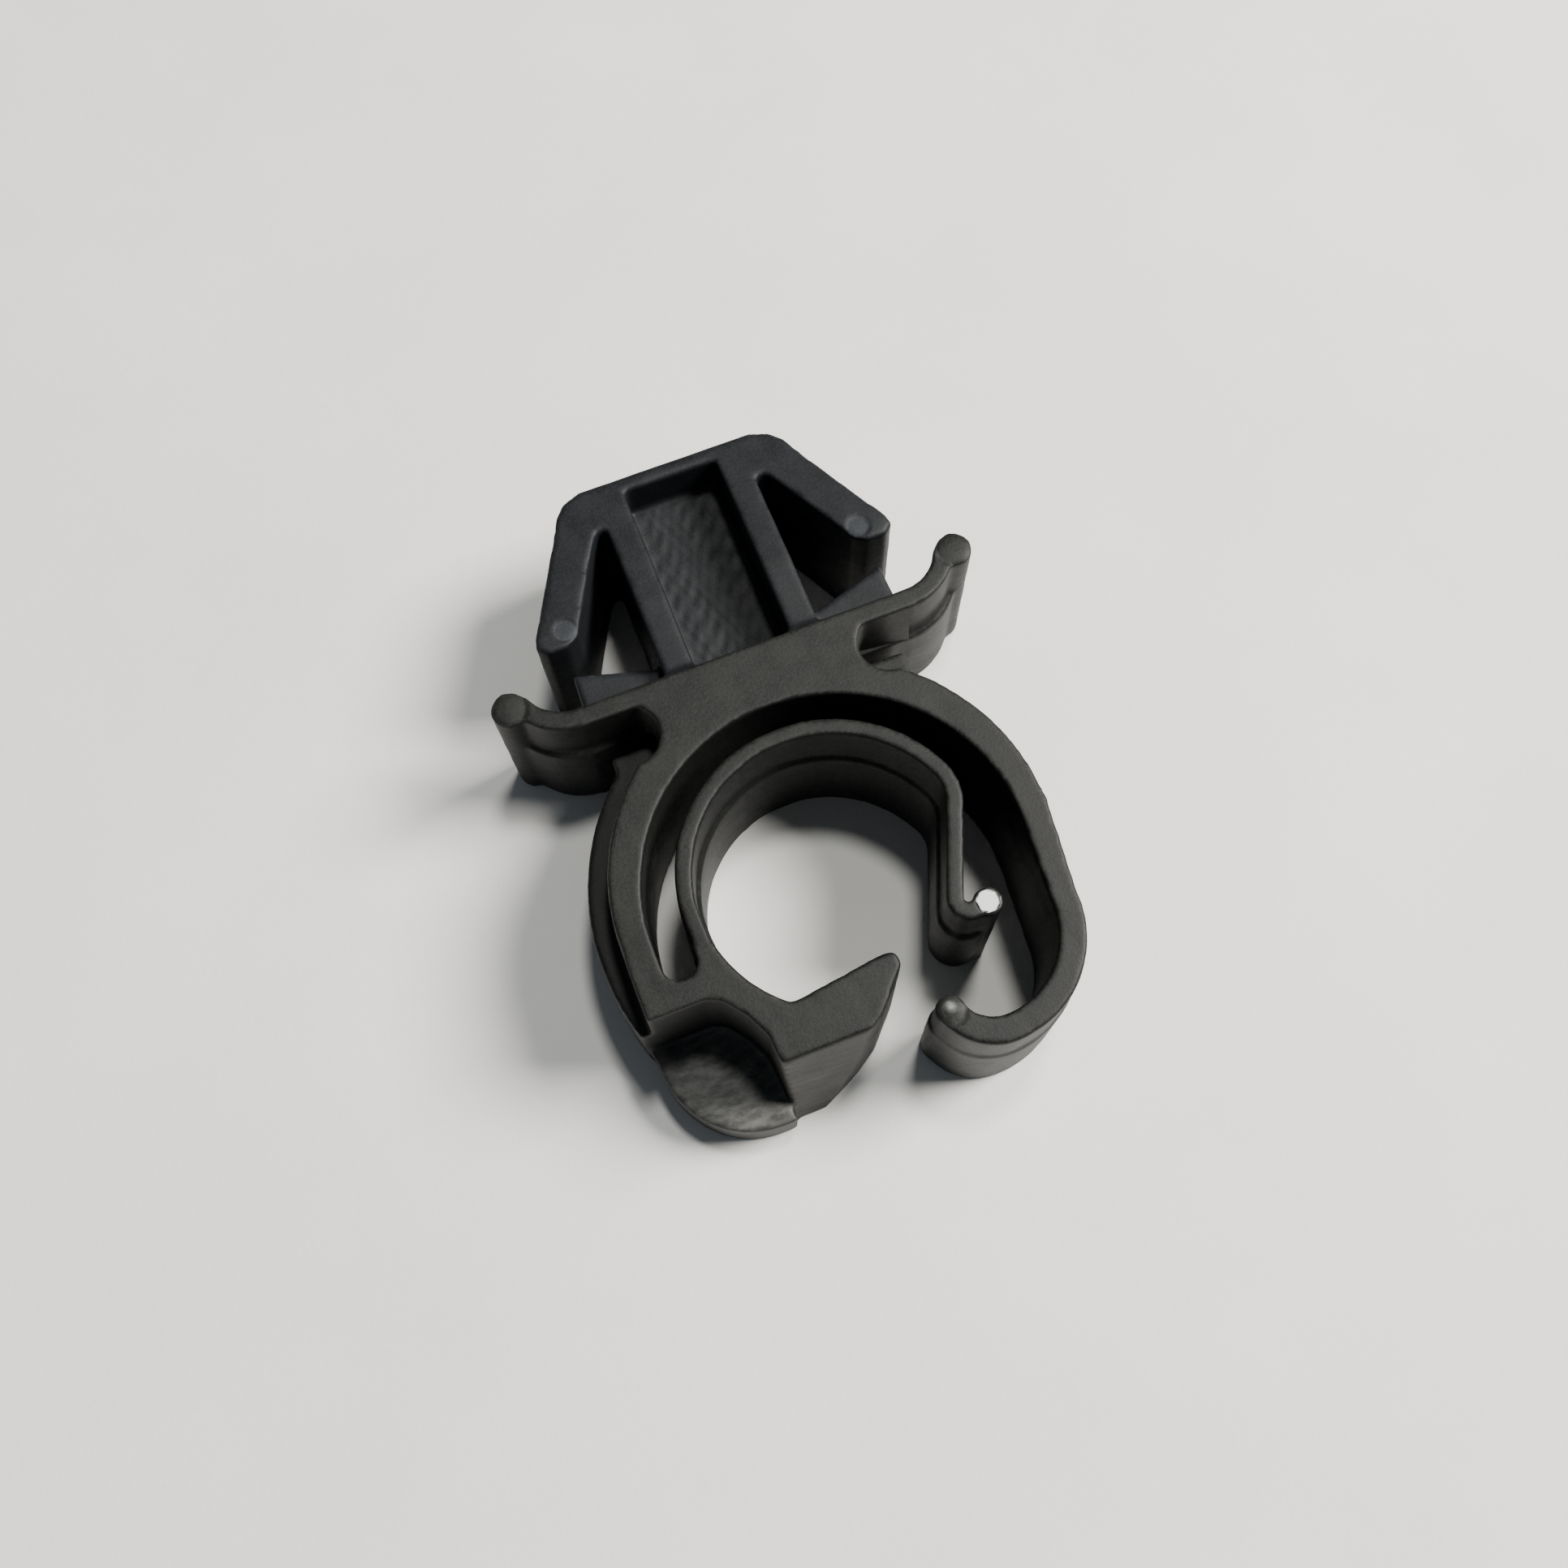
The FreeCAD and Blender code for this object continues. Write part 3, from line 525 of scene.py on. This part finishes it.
def moulded_plastic(name, dark, light, rough):
    """Black moulded plastic: eroded grain on the top faces, smoother walls, pin marks, edges
    lightened as wear and painted highlight, painted light on the thumb pad's floor.
    """
    material, tree, shader = new_material(name)
    coords = tree.nodes.new("ShaderNodeTexCoord").outputs["Object"]
    geometry = tree.nodes.new("ShaderNodeNewGeometry")
    facing = coordinate_z(tree, geometry.outputs["Normal"])
    upward = remap(tree, facing, 0.35, 0.9, 0, 1)
    bloom = noise(tree, coords, 700, 5, 0.6)
    grain = noise(tree, coords, 7000, 4, 0.7)
    pores = noise(tree, coords, 22000, 2, 0.5)
    mixed = maths(tree, "ADD", times(tree, bloom, 0.45), times(tree, grain, 0.55))
    eroded = ramp(tree, mixed, ((0.4, dark), (0.6, light)))
    colour = mixed_colour(tree, upward, scaled(dark, 2.2), eroded)

    # Convex edges lightened, most on faces turned up: partly rubbed wear, partly a painted
    # highlight where the rounded edges catch the light.
    edge_wear_and_highlight = times(tree, remap(tree, geometry.outputs["Pointiness"], 0.53, 0.62, 0, 1),
                 remap(tree, grain, 0.35, 0.7, 0.2, 0.8))
    edge_wear_and_highlight = times(tree, edge_wear_and_highlight, remap(tree, facing, 0.1, 0.6, 0.1, 1))
    colour = mixed_colour(tree, edge_wear_and_highlight, colour, scaled(light, 2.2))
    speckle = times(tree, upward, remap(tree, pores, 0.62, 0.7, 0, 0.6))
    colour = mixed_colour(tree, speckle, colour, scaled(light, 3.0))
    # Painted light: the thumb pad's floor is lightened, with rubbed streaks in it.
    colour = mixed_colour(tree, thumb_streaks_and_painted_light(tree, coords, upward), colour, (0.1, 0.1, 0.094))
    pin = times(tree, upward, near_points(tree, coords, PIN_MARKS, PIN_R - 0.03, 0.05))
    pin = times(tree, pin, remap(tree, grain, 0.3, 0.7, 0.4, 1))
    colour = mixed_colour(tree, pin, colour, scaled(light, 3.0))
    tree.links.new(colour, shader.inputs["Base Color"])

    glossy = polished(tree, coords, upward)
    dull = remap(tree, mixed, 0.3, 0.7, rough - 0.06, rough + 0.08)
    polish = tree.nodes.new("ShaderNodeMix")
    factor, dull_socket, glossy_socket = (polish.inputs[i] for i in (0, 2, 3))
    tree.links.new(glossy, factor)
    tree.links.new(dull, dull_socket)
    glossy_socket.default_value = 0.1
    tree.links.new(polish.outputs[0], shader.inputs["Roughness"])
    shader.inputs["Specular IOR Level"].default_value = 0.2
    shader.inputs["IOR"].default_value = 1.48

    plain = maths(tree, "SUBTRACT", 1.0, glossy)
    relief = bump(tree, times(tree, grain, plain), 0.7, 0.000016)
    relief = bump(tree, times(tree, pores, plain), 0.4, 0.000008, relief)
    tree.links.new(relief, shader.inputs["Normal"])
    return material


def paper():
    material, tree, shader = new_material("paper")
    coords = tree.nodes.new("ShaderNodeTexCoord").outputs["Object"]
    mottled = noise(tree, coords, 60, 5, 0.6)
    fibre = noise(tree, coords, 2600, 4, 0.65)
    colour = ramp(tree, mottled, ((0.3, (0.64, 0.63, 0.61)), (0.7, (0.70, 0.69, 0.67))))
    tree.links.new(colour, shader.inputs["Base Color"])
    shader.inputs["Roughness"].default_value = 0.85
    shader.inputs["Specular IOR Level"].default_value = 0.25
    tree.links.new(bump(tree, fibre, 0.35, 0.00004), shader.inputs["Normal"])
    return material


# ---- pieces ----------------------------------------------------------------------------------

skin = remeshed(raw_skin(), VOXEL)
smooth(skin, SMOOTH_ROUNDS)
mould_marks(skin)
meshes = parted(skin)
bpy.data.meshes.remove(skin)

ring_plastic = moulded_plastic("ring_plastic", (0.003, 0.0032, 0.003),
                               (0.0105, 0.0108, 0.0098), 0.5)
# Same plastic as the ring; this darker, bluer copy is painted shade on the anchor's tilted faces.
anchor_plastic_painted_shade = moulded_plastic("anchor_plastic_painted_shade", (0.0032, 0.0037, 0.0045),
                                 (0.0078, 0.0087, 0.0102), 0.54)


def finger_span(angle, before, after):
    """Where the finger starts and stops bending at one of its flexing lines."""
    a, r = math.radians(angle), SEAT_R + 0.35
    ahead = (math.sin(a), -math.cos(a))
    point = (r * math.cos(a), r * math.sin(a))
    return tuple((point[0] + d * ahead[0], point[1] + d * ahead[1]) for d in (-before, after))


def barb_span(side):
    return tuple((side * (BARB_HINGE[0] + d * BARB_WAY[0]), BARB_HINGE[1] + d * BARB_WAY[1])
                 for d in (BARB_CUT, 0.9))


MEMBERS = {
    "finger_root": ("frame", "finger_root", *finger_span(HINGES["root"], 0.55, 0.6)),
    "finger_crown": ("finger_root", "finger_crown", *finger_span(HINGES["crown"], 1.2, 1.2)),
    "finger_tip": ("finger_crown", "finger_tip", *finger_span(HINGES["tip"], 1.2, 1.2)),
    "guard": ("frame", "guard_arm", (8.3, 0.8), (8.3, -1.6)),
    "wing_right": ("frame", "wing_right", (WING_CUT_X, 9.5), (8.3, 9.5)),
    "wing_left": ("frame", "wing_left", (-WING_CUT_X, 9.5), (-8.3, 9.5)),
    "barb_right": ("frame", "barb_right", *barb_span(1)),
    "barb_left": ("frame", "barb_left", *barb_span(-1)),
}
STANDS_FOR = {
    "ring": ("flange", "ring_wall", "ring_heel", "hook_jaw", "thumb_pad", "shoulder"),
    "anchor": ("nose_bridge", "rib_right", "rib_left", "floor_web", "seat_pad_right",
               "seat_pad_left"),
    "guard": ("guard_arm",),
}
ANCHOR_PARTS = ("anchor", "barb_right", "barb_left")

for name, mesh in meshes.items():
    piece = bpy.data.objects.new(name + "_moulding", mesh)
    bpy.context.scene.collection.objects.link(piece)
    in_anchor = name in ANCHOR_PARTS
    mesh.materials.append(anchor_plastic_painted_shade if in_anchor else ring_plastic)
    if name in MEMBERS:
        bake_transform(piece)
    else:
        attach(piece, "frame")
    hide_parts(*STANDS_FOR.get(name, (name,)))

# ---- paper, camera and light -----------------------------------------------------------------

floor_mesh = bpy.data.meshes.new("paper_sheet")
floor_mesh.from_pydata([(-0.4, -0.4, 0), (0.4, -0.4, 0), (0.4, 0.4, 0), (-0.4, 0.4, 0)], [],
                       [(0, 1, 2, 3)])
floor = bpy.data.objects.new("paper_sheet", floor_mesh)
floor.location.z = -0.00003
floor_mesh.materials.append(paper())
bpy.context.scene.collection.objects.link(floor)

FOCAL_PX, IMAGE_PX, SENSOR = 2077.4, 1932, 36.0
TURNS = [math.radians(a) for a in (-21.569, -18.633, 0.651)]    # about z, then x, then y


def turn(axis, angle):
    c, s = math.cos(angle), math.sin(angle)
    rows = {"z": ((c, -s, 0), (s, c, 0), (0, 0, 1)), "x": ((1, 0, 0), (0, c, -s), (0, s, c)),
            "y": ((c, 0, s), (0, 1, 0), (-s, 0, c))}
    return Matrix(rows[axis])


view_rows = (turn("y", TURNS[2]) @ turn("x", TURNS[1]) @ turn("z", TURNS[0])
             @ Matrix(((1, 0, 0), (0, -1, 0), (0, 0, -1))))
right, down, forward = (Vector(view_rows[i]) for i in range(3))

camera = bpy.data.cameras.new("camera")
camera.sensor_width = SENSOR
camera.lens = SENSOR * FOCAL_PX / IMAGE_PX
camera.clip_start, camera.clip_end = 0.002, 5
eye = bpy.data.objects.new("camera", camera)
axes = Matrix((right, -down, -forward)).transposed()
eye.matrix_world = Matrix.Translation((-0.007657, -0.016094, 0.070409)) @ axes.to_4x4()
bpy.context.scene.collection.objects.link(eye)
bpy.context.scene.camera = eye


def mirror_way(point):
    """Direction in the view from which a level face at a point mirrors light to the camera."""
    towards = (Vector(eye.matrix_world.translation) - Vector(point)).normalized()
    light = Vector((-towards.x, -towards.y, towards.z))
    return light.dot(right), -light.dot(down), -light.dot(forward)


def area_light(name, way, distance, size, power, colour):
    """A soft light in a direction given as (right, up, towards the camera) in the view."""
    light = bpy.data.lights.new(name, "AREA")
    light.shape = "DISK"
    light.size = size
    light.energy = power
    light.color = colour
    lamp = bpy.data.objects.new(name, light)
    aim = (right * way[0] - down * way[1] - forward * way[2]).normalized()
    centre = Vector((0, 0.005, 0.003))
    lamp.matrix_world = (Matrix.Translation(centre + aim * distance)
                         @ aim.to_track_quat("Z", "Y").to_matrix().to_4x4())
    bpy.context.scene.collection.objects.link(lamp)


area_light("window", (0.64, 0.42, 0.64), 0.36, 0.16, 4.0, (1.0, 0.98, 0.935))
area_light("front", (0.1, -0.8, 0.6), 0.7, 0.4, 0.13, (0.5, 0.74, 1.0))
bead_top = (FINGER_BEAD[0] * MM, FINGER_BEAD[1] * MM, TOP * MM)
area_light("lamp", mirror_way(bead_top), 0.6, 0.08, 2.0, (1.0, 1.0, 0.96))

world = bpy.data.worlds.new("room")
world.use_nodes = True
background = world.node_tree.nodes["Background"]
background.inputs["Color"].default_value = (0.84, 0.92, 1.0, 1)
background.inputs["Strength"].default_value = 0.13
bpy.context.scene.world = world
